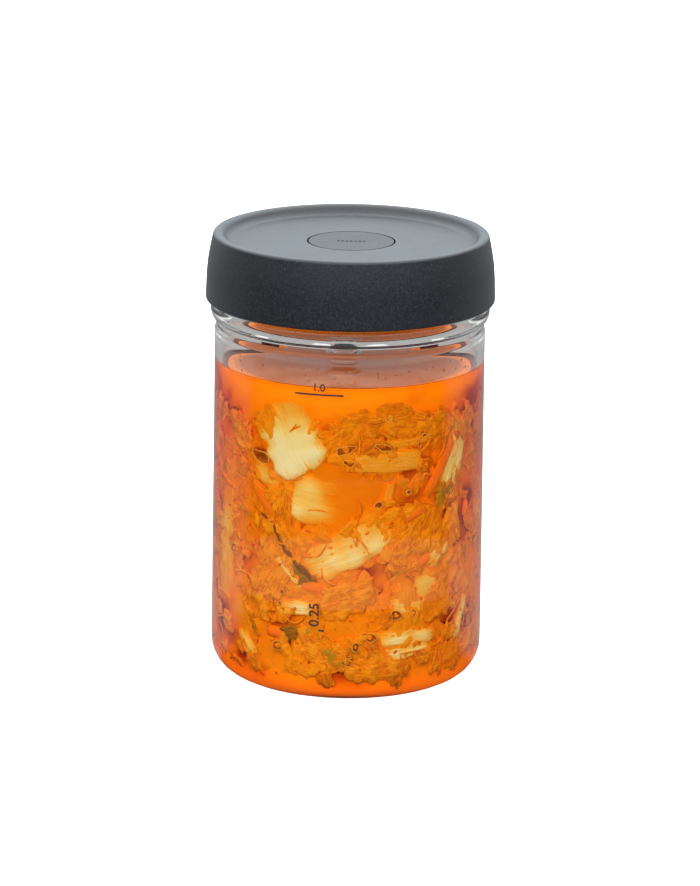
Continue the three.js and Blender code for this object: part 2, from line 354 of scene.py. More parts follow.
def mesh_piece(name, points, faces, finish, replaces=(), attributes=None, smooth=True):
    """A mesh object in metres from points in millimetres, riding on the jar's one body."""
    mesh = bpy.data.meshes.new(name)
    mesh.from_pydata((np.asarray(points, float) * MM).tolist(), [], faces)
    mesh.validate()
    for key, values in (attributes or {}).items():
        kind = "FLOAT_VECTOR" if np.ndim(values) == 2 else "FLOAT"
        layer = mesh.attributes.new(key, kind, "POINT")
        field = "vector" if kind == "FLOAT_VECTOR" else "value"
        layer.data.foreach_set(field, np.asarray(values, np.float32).ravel())
    mesh.polygons.foreach_set("use_smooth", [smooth] * len(mesh.polygons))
    mesh.materials.append(finish)
    mesh.update()
    piece = bpy.data.objects.new(name, mesh)
    bpy.context.scene.collection.objects.link(piece)
    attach(piece, "root")
    if replaces:
        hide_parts(*replaces)


def eased(corners, steps=6):
    """An outline through (radius, height, ease) corners, each turned in a round arc."""
    side_share = 0.49
    lead = 1.02
    outline = []
    for i, (radius, height, ease) in enumerate(corners):
        here = np.array((radius, height), float)
        if ease == 0 or i in (0, len(corners) - 1):
            outline.append(here)
            continue
        back = np.array(corners[i - 1][:2], float) - here
        ahead = np.array(corners[i + 1][:2], float) - here
        reach = min(ease, side_share * np.linalg.norm(back), side_share * np.linalg.norm(ahead))
        back /= np.linalg.norm(back)
        ahead /= np.linalg.norm(ahead)
        weight = math.sqrt(max((1 - float(back @ ahead)) / 2, 0.0))
        outline.append(here + back * reach * lead)
        for t in np.linspace(0, 1, steps + 1):
            parts = (1 - t) ** 2, 2 * t * (1 - t) * weight, t * t
            point = parts[0] * (here + back * reach) + parts[1] * here + parts[2] * (here + ahead * reach)
            outline.append(point / sum(parts))
        outline.append(here + ahead * reach * lead)
    return outline


def turned(outline, steps=TURN_STEPS):
    """Points and faces of an outline turned about Z. Points on the axis are shared."""
    points, rings, faces = [], [], []
    for radius, height in outline:
        if radius < 1e-6:
            rings.append([len(points)] * steps)
            points.append((0, 0, height))
            continue
        rings.append(list(range(len(points), len(points) + steps)))
        for i in range(steps):
            turn = 2 * math.pi * i / steps
            points.append((radius * math.cos(turn), radius * math.sin(turn), height))
    for low, high in zip(rings, rings[1:]):
        for i in range(steps):
            j = (i + 1) % steps
            quad = [low[i], low[j], high[j], high[i]]
            face = list(dict.fromkeys(quad))
            if len(face) > 2:
                faces.append(face)
    return points, faces


def body_radius(z):
    """Outer radius of the jar's body."""
    return np.interp(z, (BODY_LOW_Z, BODY_HIGH_Z), (BODY_RADIUS_LOW, BODY_RADIUS_HIGH))


def inner_radius(z):
    """Inner radius of the glass, round its inner base corner too."""
    corner = BASE_CORNER - WALL
    below = np.clip(BASE_THICKNESS + corner - np.asarray(z, float), 0, corner)
    return body_radius(z) - WALL - (corner - np.sqrt(corner**2 - below**2))


def on_wall(turn, z, depth):
    """A point at a depth behind the glass. Turn is in radians from the front."""
    radius = inner_radius(z) - depth
    return np.stack([radius * np.sin(turn), -radius * np.cos(turn), z], axis=-1)


class Draws:
    """Seeded random draws and smooth random waves."""

    def __init__(self, seed):
        self.source = random.Random(seed)

    def between(self, low, high):
        return self.source.uniform(low, high)

    def waves(self, a, b, size, sines=4):
        """A smooth random field of about unit height, with bumps of the given size."""
        total = 0
        for _ in range(sines):
            heading = self.between(0, 2 * math.pi)
            pace = 2 * math.pi / (size * self.between(0.7, 1.5))
            phase = self.between(0, 2 * math.pi)
            total = total + np.sin(pace * (a * math.cos(heading) + b * math.sin(heading)) + phase)
        return total / sines


class Pile:
    """Closed pieces of one kind, joined into one mesh."""

    def __init__(self):
        self.points, self.faces = [], []
        self.layers = {"tone": [], "depth": [], "grain": []}
        self.points_made = 0

    def slab(self, front, back, tone=0.5, depths=None, grain=None):
        """A closed piece from two grids of points that share their rim's layout."""
        rows, columns = front.shape[:2]
        size = rows * columns
        grid = np.arange(size).reshape(rows, columns) + self.points_made
        a, b, c, d = grid[:-1, :-1], grid[1:, :-1], grid[1:, 1:], grid[:-1, 1:]
        rim = np.concatenate([grid[0, :-1], grid[:-1, -1], grid[-1, :0:-1], grid[:0:-1, 0]])
        after = np.roll(rim, -1)
        self.faces += [
            np.stack([a, b, c, d], -1).reshape(-1, 4),
            np.stack([d, c, b, a], -1).reshape(-1, 4) + size,
            np.stack([rim, after, after + size, rim + size], -1),
        ]
        self.points += [front.reshape(-1, 3), back.reshape(-1, 3)]
        if depths is None:
            depths = np.ones(2 * size)
        if grain is None:
            grain = np.zeros((size, 3))
        self.layers["tone"].append(np.broadcast_to(tone, (2, rows, columns)).ravel())
        self.layers["depth"].append(depths.ravel())
        self.layers["grain"].append(np.tile(grain.reshape(-1, 3), (2, 1)))
        self.points_made += 2 * size

    def piece(self, name, finish, slot, replaces=()):
        points = np.concatenate(self.points)
        attributes = {key: np.concatenate(parts) for key, parts in self.layers.items()}
        faces = np.concatenate(self.faces).tolist()
        mesh_piece(name, points, faces, finish, replaces, attributes)


class Spot(NamedTuple):
    """Where a piece lies along the glass. Angle 0 is the front; tilt turns it in the wall."""

    angle: float
    height: float
    tilt: float
    length: float
    width: float
    depth: float
    tone: float = 0.5
    sink: tuple = (0.0, 0.0)
    bend: float = 0.0


def unit_grid(rows, columns):
    """Two grids that run from -1 to 1, one down the rows and one along the columns."""
    u = np.linspace(-1, 1, rows + 1)[:, None] * np.ones(columns + 1)
    v = np.linspace(-1, 1, columns + 1)[None, :] * np.ones((rows + 1, 1))
    return u, v


def wall_slab(pile, draws, spot, form):
    """Adds a piece that lies along the glass and sinks away from it towards its ends."""
    u, v = unit_grid(*form["cells"])
    a = u * spot.length / 2
    ends = np.sqrt(np.clip(1 - np.abs(u) ** form["end"], 0, 1))
    ends = ends * (1 - form["blunt"]) + form["blunt"]
    a = a + form["fray"] * u**3 * draws.waves(v * spot.width / 2, 0 * a, FRAY_SIZE, 3)
    other_edge = 9 * np.sign(v)
    ragged = 1 + form["ragged"] * draws.waves(a + other_edge, 0 * a, form["ragged_size"])
    b = v * spot.width / 2 * ends * ragged
    b = b + spot.bend * (u**2 - BEND_MIDDLE) + form["sway"] * draws.waves(a, 0 * a, SWAY_SIZE)
    slope = math.radians(spot.tilt)
    across = (a * math.cos(slope) - b * math.sin(slope)) / inner_radius(spot.height)
    turn = math.radians(spot.angle) + across
    z = spot.height + a * math.sin(slope) + b * math.cos(slope)
    z = np.clip(z, BASE_THICKNESS + FLOOR_GAP, form["top"])
    rim_u, rim_v = (np.sqrt(np.clip(1 - np.abs(w) ** form["crown"], 0, 1)) for w in (u, v))
    rim = rim_u * rim_v
    fold = form["fold"] * draws.waves(a, b, form["fold_size"])
    ruffle = form["ruffle"] * (0.25 + np.abs(v) ** 1.5) * draws.waves(a, b, form["ruffle_size"])
    ridges = form["ridge"] * draws.waves(b, a / 14, form["ridge_size"], 3)
    half = form["thick"] / 2 * (0.12 + 0.88 * rim)
    middle = spot.depth + form["thick"] / 2 + fold + ruffle + form["arch"] * (u**2 + v**2) / 2
    middle = middle + spot.sink[0] * u + spot.sink[1] * v
    front = np.maximum(middle - half + ridges * rim, LEAST_DEPTH + 0.2 * np.abs(fold + ruffle))
    back = np.maximum(middle + half, front + LEAST_THICKNESS)
    grain = np.stack([a, b, np.full_like(a, draws.between(0, GRAIN_REACH))], -1)
    depths = np.stack([front, back])
    # Tone falls by the shade share where folds and ruffles sink deeper: painted shade in the creases.
    tones = spot.tone - form["shade"] * (fold + ruffle) - form["fade"] * (u**2 + v**2 - 0.5) + 0 * depths
    pile.slab(on_wall(turn, z, front), on_wall(turn, z, back), tones, depths, grain)


def shape(cells, thick, **changes):
    """The form of one kind of piece; all lengths in millimetres."""
    form = {
        "cells": cells, "thick": thick, "end": 4, "blunt": 0.0, "ragged": 0.0, "ragged_size": 7,
        "sway": 0.0, "crown": 2.4, "fold": 0.0, "fold_size": 12, "ruffle": 0.0, "ruffle_size": 4,
        "ridge": 0.0, "ridge_size": 2.0, "arch": 0.0, "top": 121.0, "fray": 0.0,
        # shade: the share of painted shade in folds and ruffles.
        "shade": 0.45, "fade": 0.0,
    }
    form.update(changes)
    return form


RIB = shape(
    (30, 20), 6.0, end=5, blunt=0.3, ragged=0.14, sway=0.6, fold=0.35, fold_size=9, fray=1.0,
    ridge=0.24, ridge_size=2, crown=4, fade=0.45)
STRAP = shape((22, 8), 2.4, end=14, blunt=0.75, sway=0.5, ridge=0.2, ridge_size=1.6, crown=6)
LEAF = shape(
    (24, 13), 0.7, end=3, blunt=0.2, ragged=0.35, ragged_size=5, fold=1.1, fold_size=8,
    ruffle=1.0, ruffle_size=3.4, arch=0.6, crown=10)
CRUMPLE = shape(
    (12, 8), 0.7, end=3, blunt=0.3, ragged=0.4, ragged_size=3, fold=0.8, fold_size=4.5,
    ruffle=0.9, ruffle_size=2.2, arch=1.0, crown=8)
STICK = shape((8, 4), 2.8, end=16, blunt=0.8, sway=0.3, crown=5)
FLAKE = shape((5, 3), 0.6, end=2.5, ragged=0.3, fold=0.3, fold_size=3)
THREAD = shape((14, 3), 0.7, end=6, blunt=0.35, sway=1.6, fold=0.5, fold_size=9, crown=3)

# Pieces that show most at the front.
FRONT_RIBS = [
    Spot(-28, 106.5, -60, 33, 27, 0.7, 0.95, (-1.2, 0.3)),
    Spot(-11, 81, -10, 27, 21, 1.8, 1.05, (1.6, 0.3)),
    Spot(0, 63.5, 28, 41, 18, 1.1, 0.7, (0, 0.6), 2),
    Spot(54, 94, 65, 24, 14, 0.8, 0.8),
    Spot(40, 46.5, 10, 15, 12, 1.6, 0.8, (0.6, 0)),
    Spot(28, 38.5, -8, 16, 9, 1.3, 0.7),
    Spot(28.5, 26, 1, 28, 7, 0.8, 0.6),
    Spot(28.5, 20.2, 2, 24, 6.5, 1.0, 0.65),
    Spot(60, 29, 62, 20, 5, 0.9, 0.8),
    Spot(-67, 56, 88, 50, 14, 1.1, 0.1),
    Spot(-49, 19.5, -50, 15, 8, 1.4, 0.6),
    Spot(-39, 89, -25, 16, 8, 1.4, 0.55),
    Spot(-22.5, 38, 3, 20, 7, 0.9, 0.35),
    Spot(44.5, 58.5, 40, 15, 8, 0.8, 0.35),
]
FRONT_STRAPS = [
    Spot(18.5, 97.5, 0, 29, 8.5, 1.0, 0.1),
    Spot(-2, 99, 5, 14, 4.5, 1.6, 0.0),
    Spot(29, 105, 5, 24, 3.6, 1.3, 0.0),
    Spot(-26, 52, -45, 16, 2.6, 1.0, 0.5),
    Spot(19, 84, 80, 9, 4, 1.9, 0.4),
]
FRONT_LEAVES = [
    Spot(14, 114, 5, 30, 13, 1.3, 0.3),
    Spot(40, 110, -5, 24, 12, 1.2, 0.35),
    Spot(-3, 108, 35, 20, 13, 1.4, 0.5),
    Spot(-33, 72, 78, 30, 14, 0.9, 0.5),
    Spot(-40, 42, 60, 26, 15, 0.9, 0.5),
    Spot(33, 66, 45, 28, 16, 1.0, 0.45),
    Spot(52, 83, 55, 16, 10, 0.9, 0.05),
    Spot(0, 43, 20, 24, 14, 1.0, 0.55),
    Spot(-27, 60, 80, 22, 12, 1.1, 0.6),
    Spot(-12, 22, -25, 24, 13, 1.1, 0.5),
    Spot(14, 14, 6, 26, 11, 1.1, 0.5),
    Spot(48, 60, 70, 22, 12, 1.2, 0.4),
]
FRONT_CARROTS = [
    Spot(-40.5, 80, -47, 17, 4.8, 0.6, 0.6),
    Spot(-33, 27, 0, 7.5, 4.6, 0.6, 0.5),
    Spot(-15, 47, -10, 10, 4.6, 0.8, 0.5),
    Spot(46, 93, 56, 27, 4.5, 0.6, 0.5),
    Spot(31, 75.5, 20, 9, 3.6, 0.6, 0.1),
    Spot(44, 70, 40, 6, 3.5, 1.1, 0.5),
    Spot(-38, 12, -30, 14, 8, 2.2, 0.4),
]
FRONT_OLIVES_AND_CRACK_SHADE = [
    Spot(-21, 51, -50, 12, 6, 1.0, 0.2),
    Spot(-25.5, 28, 5, 9, 5.5, 0.6, 0.0),
    Spot(48, 83, 55, 15, 6, 0.7, 0.6),
    Spot(-6, 19, -35, 11, 7, 1.0, 0.7),
    # The last four, thin and dark, paint the shade of a crack between pieces.
    Spot(-37.5, 72.4, -25, 8, 1.5, 0.5, -0.4),
    Spot(-32, 67.3, -66, 10, 1.7, 0.5, -0.4, (0, 0), 1),
    Spot(-27, 60, -50, 10, 2.0, 0.5, -0.4, (0, 0), -1),
    Spot(-19, 53.5, -38, 13, 2.8, 0.5, -0.2),
]
# Open brine at the front: middle angle and height, half the width in degrees, half the height.
OPEN_BRINE = [(2, 86, 21, 8.5), (-6, 76, 10, 6)]
# Air pockets against the glass: angle, height, width, height of each.
POCKETS = [
    (-41, 97, 9.0, 4.8), (-1, 103.4, 8.0, 3.4), (0.5, 98.2, 4.4, 2.8), (15.5, 104.2, 6.4, 2.8),
    (13.6, 81.3, 3.4, 2.8), (18, 115.5, 2.6, 2.2), (22.5, 35.8, 4.6, 4.4), (30, 35.8, 4.0, 3.6),
    (-31, 21.8, 4.8, 4.2), (10.5, 27.6, 6.0, 3.8), (4.5, 23.7, 2.8, 3.8), (0.5, 17.3, 4.2, 2.8),
    (-29, 44, 2.4, 2.0), (-30, 39.5, 2.0, 1.8), (35, 107.5, 2.6, 1.8), (32.5, 104.2, 1.6, 2.4),
    (27.5, 85.5, 2.0, 2.0),
]


def is_open(angle, z):
    """True where the front shows brine alone."""
    return any(((angle - a) / wide) ** 2 + ((z - b) / tall) ** 2 < 1 for a, b, wide, tall in OPEN_BRINE)


def spread(draws, pieces, low, high, front_share=FRONT_SHARE):
    """Places over the wall in rows: a share of them at the front, and none on open brine there."""
    row_length = 230
    rows = max(2, round(math.sqrt(pieces * (high - low) / row_length)))
    for i in range(pieces):
        front = draws.between(0, 1) < front_share
        reach = (-FRONT_EDGE, FRONT_EDGE) if front else (FRONT_EDGE, 360 - FRONT_EDGE)
        angle = draws.between(*reach)
        z = low + (high - low) * (i % rows + draws.between(0.1, 0.9)) / rows
        if not is_open(angle, z):
            yield angle, z


class Scatter(NamedTuple):
    """Random pieces over the wall; each pair gives a least and a greatest value."""

    pieces: int
    heights: tuple
    lengths: tuple
    widths: tuple
    depths: tuple
    tones: tuple = (0, 1)
    bend: float = 0.0
    front_share: float = FRONT_SHARE

    def spots(self, draws):
        ranges = (self.lengths, self.widths, self.depths, self.tones)
        for angle, z in spread(draws, self.pieces, *self.heights, self.front_share):
            length, width, depth, tone = (draws.between(*pair) for pair in ranges)
            tilt = draws.between(-90, 90)
            bend = draws.between(-self.bend, self.bend)
            yield Spot(angle, z, tilt, length, width, depth, tone, bend=bend)


def vegetable(name, base, second, relief, roughness=0.3, veined=False):
    """Wet vegetable: strands along the piece, and brine that hides what lies deep."""
    finish, graph = material(name)
    fibres = graph.noise(graph.along_grain(0.12, 1.2, 1.0), 1.0, 3.0, 0.5, 0.5)
    blotches = graph.noise(graph.along_grain(0.16, 0.2, 1.0), 1.0, 3.0)
    strands = graph.node(
        "ShaderNodeTexWave", {"wave_type": "BANDS", "bands_direction": "Y"},
        {"Vector": graph.along_grain(0.35, 1.0, 1.0), "Scale": 0.32, "Distortion": 7.0, "Detail": 3.0},
        "Fac")
    tone = graph.attribute("tone")
    mottle = tone + (fibres - 0.5) * 1.3 + (blotches - 0.5) * 0.9 + (strands - 0.5) * 0.35
    height = fibres * 0.5 + strands * 0.5
    if veined:
        winding = graph.noise(graph.along_grain(0.5, 0.5, 1.0), 1.0, 2.0)
        warped = graph.vectors("ADD", graph.along_grain(0.16, 0.42, 1.0), winding)
        cells = graph.node(
            "ShaderNodeTexVoronoi", {"feature": "DISTANCE_TO_EDGE"}, {"Vector": warped, "Scale": 1.0},
            "Distance")
        vein = graph.ramp(cells, (0.0, 1.0), (0.14, 0.0))
        mottle = mottle + vein * 0.7 - 0.2
        height = height * 0.6 + vein * 0.4
    share = graph.ramp(mottle, (0.05, 0.0), (0.85, 1.0))
    murk = graph.ramp(graph.attribute("depth") * 0.2, (0.13, 0.0), (0.54, 1.0))
    shade = graph.mix(murk, graph.mix(share, second, base), tint("haze"))
    shader = graph.plastic(
        Base_Color=shade, Roughness=roughness, Specular_IOR_Level=0.3,
        Normal=graph.bump(height, relief * MM, 0.8))
    graph.surface(shader)
    return finish


def lamp_clear(graph, shader):
    """Glass or brine that lets lamps through without a dark shadow."""
    shadow = graph.ray("Shadow")
    clear = graph.node("ShaderNodeBsdfTransparent")
    return graph.node("ShaderNodeMixShader", None, {0: shadow, 1: shader, 2: clear})


def clear_glass():
    finish, graph = material("clear_glass")
    shader = graph.plastic(
        Base_Color=(0.985, 0.992, 0.99, 1), Roughness=0.0, IOR=1.47, Transmission_Weight=1.0)
    graph.surface(lamp_clear(graph, shader))
    return finish


def brine_liquid():
    finish, graph = material("orange_brine")
    up = graph.axis(graph.node("ShaderNodeNewGeometry", output="Normal"), "Z")
    shader = graph.plastic(
        Base_Color=(1, 1, 1, 1), Roughness=graph.ramp(up, (0.9, 0.0), (0.99, 0.1)), IOR=1.33,
        Transmission_Weight=1.0)
    taken = (3, 95, BRINE_DENSITY)
    colour_kept = rgba(1 - part / BRINE_DENSITY for part in taken)
    inputs = {"Color": colour_kept, "Density": BRINE_DENSITY}
    volume = graph.node("ShaderNodeVolumeAbsorption", None, inputs)
    graph.surface(lamp_clear(graph, shader), volume)
    return finish


def grained_plastic(name, base, roughness):
    """Satin plastic with a fine grain, its light specks painted glints."""
    finish, graph = material(name)
    grain = graph.noise(graph.place(1600, 1600, 1600), 1.0, 3.0, 0.7)
    clouds = graph.noise(graph.place(60, 60, 60), 1.0, 2.0)
    # Painted glints: light specks of the grain, six times the base colour.
    speck = graph.ramp(grain, (0.5, 0.0), (0.68, 1.0))
    shade = graph.mix(speck * 0.5, base, scaled(base, 6))
    shader = graph.plastic(
        Base_Color=shade, Roughness=roughness + (clouds - 0.5) * 0.08, IOR=1.52,
        Specular_Tint=(0.74, 0.88, 1.0, 1), Normal=graph.bump(grain, 0.06 * MM, 0.6))
    graph.surface(shader)
    return finish


def polished_steel():
    """Steel with fine rings from turning."""
    finish, graph = material("stem_steel")
    rings = graph.noise(graph.place(400, 400, 9000), 1.0, 2.0)
    shader = graph.plastic(
        Base_Color=rgba(tint("steel")), Metallic=1.0, Roughness=0.14 + rings * 0.12,
        Normal=graph.bump(rings, 0.004 * MM, 0.3))
    graph.surface(shader)
    return finish


def cloudy_brine():
    """Brine where it stops being clear, with painted shade in its dips and at its foot, a painted lid
    shadow on its top, and a painted glow near the base and the surface.
    """
    finish, graph = material("cloudy_brine")
    haze = tint("haze")
    clouds = graph.noise(graph.place(75, 75, 75), 1.0, 4.0, 0.55)
    # Painted shade: the body is darker where it dips back between pieces.
    dips = graph.ramp(graph.attribute("gloom") + (clouds - 0.5) * 1.2, (0.05, 0.0), (0.85, 1.0))
    shade = graph.mix(graph.ramp(clouds, (0.35, 0.0), (0.65, 1.0)), haze, scaled(haze, 0.92))
    shade = graph.mix(dips, shade, (0.4, 0.09, 0.006))
    z = graph.axis(graph.place(0, 0, 1000), "Z")
    # Painted shade: the body is darker and redder towards the base.
    foot = graph.ramp(z * 0.08, (0.3, 1.0), (0.85, 0.0))
    shade = graph.mix(foot, shade, (0.9, 0.2, 0.01))
    # Painted shadow of the lid: the flat top, inside the ring along the wall, is darker and browner.
    radius = graph.vectors("LENGTH", graph.place(1000, 1000, 0), (0, 0, 0), "Value")
    top = graph.ramp((46.5 - radius) * 0.2, (0.0, 0.0), (0.7, 1.0))
    shade = graph.mix(top, shade, (0.7, 0.25, 0.08))
    # Painted glow, standing in for light scattered in the brine: near the base, and in a band under the
    # surface but not on the shadowed top.
    painted_glow_foot = graph.ramp(z * 0.07, (0.35, 1.0), (0.9, 0.0))
    glow = graph.mix(painted_glow_foot, (0, 0, 0), (0.75, 0.12, 0.0))
    painted_glow_band = graph.ramp((z - 108) * 0.06, (0.0, 0.0), (0.95, 1.0)) * (1 - top)
    glow = graph.mix(painted_glow_band, glow, (0.42, 0.09, 0.0))
    graph.surface(graph.plastic(
        Base_Color=shade, Roughness=0.9, Specular_IOR_Level=0.1,
        Emission_Color=glow, Emission_Strength=1.0))
    return finish


def painted_shade_hollow():
    """The inside of an air pocket, painted dark as shade."""
    finish, graph = material("pocket_hollow")
    patches = graph.noise(graph.along_grain(0.3, 0.4, 1), 1.0, 2.0)
    shade = graph.ramp(patches, (0.3, (0.2, 0.03, 0.004)), (0.7, (0.5, 0.13, 0.02)))
    graph.surface(graph.plastic(Base_Color=shade, Roughness=0.35))
    return finish


def mist_veil(level):
    """Fine specks in a band over the brine, thin enough to see through."""
    finish, graph = material("mist")
    z = graph.axis(graph.place(0, 0, 1000), "Z")
    height = graph.ramp((z - level) * 0.1, (0.12, 0.0), (0.3, 1.0), (0.65, 0.6), (1.0, 0.0))
    patches = graph.ramp(graph.noise(graph.place(60, 60, 60), 1.0, 3.0), (0.3, 0.35), (0.7, 1.0))
    specks = graph.noise(graph.place(1500, 1500, 1500), 1.0, 1.0)
    grains = graph.ramp(specks, (0.4, 0.5), (0.7, 1.0))
    share = height * patches * grains * 0.1
    clear = graph.node("ShaderNodeBsdfTransparent")
    white = graph.node("ShaderNodeBsdfDiffuse", None, {"Color": (0.95, 0.7, 0.55, 1)})
    graph.surface(graph.node("ShaderNodeMixShader", None, {0: share, 1: clear, 2: white}))
    return finish


def white_floor():
    """White paint as the camera sees it, and a glow that differs by side for all other rays."""
    finish, graph = material("floor_white")
    glossy = graph.ray("Glossy")
    spot = graph.node("ShaderNodeNewGeometry", output="Position")
    x, y = (graph.axis(spot, name) for name in ("X", "Y"))
    bearing = y.maths("ARCTAN2", y, x.maths("ABSOLUTE", x, 0))
    card = graph.ramp(bearing + 0.5, (0.36, 0.03), (0.55, 0.42))
    front = graph.ramp(0.5 - bearing, (0.6, 0.1), (1.0, 1.0))
    light = 1.0 + (card - 1.0) * glossy + graph.ray("Diffuse") * (front * 1.5 - 0.4)
    glow = graph.node("ShaderNodeEmission", None, {"Color": light, "Strength": 1.0})
    paint = graph.node("ShaderNodeBsdfDiffuse", None, {"Color": (0.8, 0.8, 0.8, 1)})
    white = graph.node("ShaderNodeEmission", None, {"Color": (1, 1, 1, 1), "Strength": 0.75})
    lit = graph.node("ShaderNodeAddShader", None, {0: paint, 1: white})
    graph.surface(graph.node("ShaderNodeMixShader", None, {0: graph.ray("Camera"), 1: glow, 2: lit}))
    return finish


class JAR_OT_stage(bpy.types.Operator):
    """Floor, surroundings, lamps and the photograph's camera"""

    bl_idname = "jar.stage"
    bl_label = "Stage"

    def execute(self, context):
        scene = context.scene
        self.floor(scene)
        self.world(scene)
        self.lamps(scene)
        self.camera(scene)
        scene.view_settings.view_transform = "Standard"
        return {"FINISHED"}

    def floor(self, scene):
        mesh = bpy.data.meshes.new("floor")
        reach = FLOOR_REACH
        corners = [(-reach, -reach, 0), (reach, -reach, 0), (reach, reach, 0), (-reach, reach, 0)]
        mesh.from_pydata(corners, [], [(0, 1, 2, 3)])
        mesh.materials.append(white_floor())
        floor = bpy.data.objects.new("floor", mesh)
        scene.collection.objects.link(floor)
        floor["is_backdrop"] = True

    def world(self, scene):
        """White behind the jar; greyer for what the glass and the lid mirror."""
        scene.world = bpy.data.worlds.new("studio")
        scene.world.use_nodes = True
        graph = Graph(scene.world.node_tree)
        heading = graph.node("ShaderNodeTexCoord", output="Generated")
        back, up = (graph.axis(heading, name) for name in ("Y", "Z"))
        rear = back * 0.5 + 0.5
        cool, warm = (0.9, 1.0, 1.06), (1.0, 0.93, 0.86)
        cast = graph.mix(graph.ramp(rear, (0.7, 0.0), (0.93, 1.0)), warm, cool)
        level = graph.ramp(rear, (0.3, 0.07), (0.7, 0.25), (0.93, 1.0)) * 1.3
        level = level + graph.ramp(up, (0.0, 0.0), (0.12, 1.0)) * 0.25
        level = level + graph.ramp(up, (0.3, 0.0), (0.75, 1.0)) * 3.2
        mirrored = graph.vectors("MULTIPLY", cast, level)
        ambient = graph.ramp(rear, (0.0, 1.0), (0.45, 0.38), (0.6, 0.4), (1.0, 0.9)) * 1.7
        around = graph.mix(graph.ray("Glossy"), ambient, mirrored)
        dusk = graph.ramp(up, (0.02, 0.0), (0.14, 1.0)) * graph.ramp(back, (0.2, 0.0), (0.7, 1.0))
        white = 1.05
        around = graph.mix(graph.ray("Transmission"), around, white - dusk * 0.68)
        tone = graph.mix(graph.ray("Camera"), around, (white, white, white))
        background = graph.node("ShaderNodeBackground", None, {"Color": tone, "Strength": 1.0})
        graph.node("ShaderNodeOutputWorld", None, {"Surface": background})

    def lamps(self, scene):
        """Soft boxes that aren't seen themselves: place and size in metres, and watts."""
        boxes = {
            "key_left": ((-0.5, -1.65, 0.85), (0.9, 0.9), 29),
            "fill_right": ((0.9, -1.3, 0.4), (0.9, 0.9), 13),
            "card_left": ((-0.55, 0.3, 0.2), (0.35, 0.9), 0.8),
            "card_right": ((0.55, 0.3, 0.2), (0.35, 0.9), 0.6),
            "top": ((0.0, 0.15, 1.3), (1.0, 1.0), 14),
            "back": ((0.3, 1.7, 0.7), (0.9, 0.9), 14),
        }
        for name, (place, size, watts) in boxes.items():
            lamp = bpy.data.lights.new(name, "AREA")
            lamp.shape = "RECTANGLE"
            lamp.size, lamp.size_y = size
            lamp.energy = watts
            box = bpy.data.objects.new(name, lamp)
            scene.collection.objects.link(box)
            box.location = place
            box.rotation_euler = (box.location - LAMP_TARGET).to_track_quat("Z", "Y").to_euler()
            box.visible_camera = False
            box.visible_transmission = False
            box.visible_glossy = False

    def camera(self, scene):
        lens = bpy.data.cameras.new("camera")
        lens.sensor_width = SENSOR_WIDTH
        lens.lens = FOCAL_PIXELS * SENSOR_WIDTH / PICTURE_HEIGHT
        camera = bpy.data.objects.new("camera", lens)
        scene.collection.objects.link(camera)
        place = Matrix.Translation((CAMERA_SIDE * MM, -CAMERA_BACK * MM, CAMERA_UP * MM))
        tilt = Matrix.Rotation(math.pi / 2 - CAMERA_PITCH, 4, "X")
        camera.matrix_world = place @ tilt @ Matrix.Rotation(CAMERA_ROLL, 4, "Z")
        scene.camera = camera


class JAR_OT_glass(bpy.types.Operator):
    """The clear jar, with its ring and mouth"""

    bl_idname = "jar.glass"
    bl_label = "Glass"

    def execute(self, context):
        corner = BASE_CORNER - WALL
        low = BODY_RADIUS_LOW
        high = BODY_RADIUS_HIGH
        outline = eased([
            (0, 0, 0),
            (low, 0, BASE_CORNER),
            (low, BODY_LOW_Z, 4),
            (high, BODY_HIGH_Z, 5),
            (high, SHOULDER_Z, 3.0),
            (NECK_RADIUS, NECK_LOW_Z, 1.0),
            (NECK_RADIUS, NECK_HIGH_Z, 0.8),
            (RING_RADIUS - 0.7, RING_LOW_Z, 1.0),
            (RING_RADIUS + 0.1, RING_LOW_Z + 2.4, 1.8),
            (RING_RADIUS, RING_LOW_Z + 4.4, 1.4),
            (RING_RADIUS - 1.0, RING_HIGH_Z - 0.2, 0.8),
            (MOUTH_RADIUS, RING_HIGH_Z, 0.2),
            (MOUTH_RADIUS, MOUTH_TOP, 1.4),
            (BORE_RADIUS, MOUTH_TOP, 1.6),
            (BORE_RADIUS, BORE_LOW_Z, 5),
            (high - WALL, BORE_TAPER_Z, 5),
            (high - WALL, BODY_HIGH_Z - WALL, 5),
            (low - WALL, BODY_LOW_Z, 4),
            (low - WALL, BASE_THICKNESS, corner),
            (0, BASE_THICKNESS, 0),
        ], 8)
        points, faces = turned(outline)
        mesh_piece("jar_glass", points, faces, clear_glass(), ["glass_jar"])
        return {"FINISHED"}


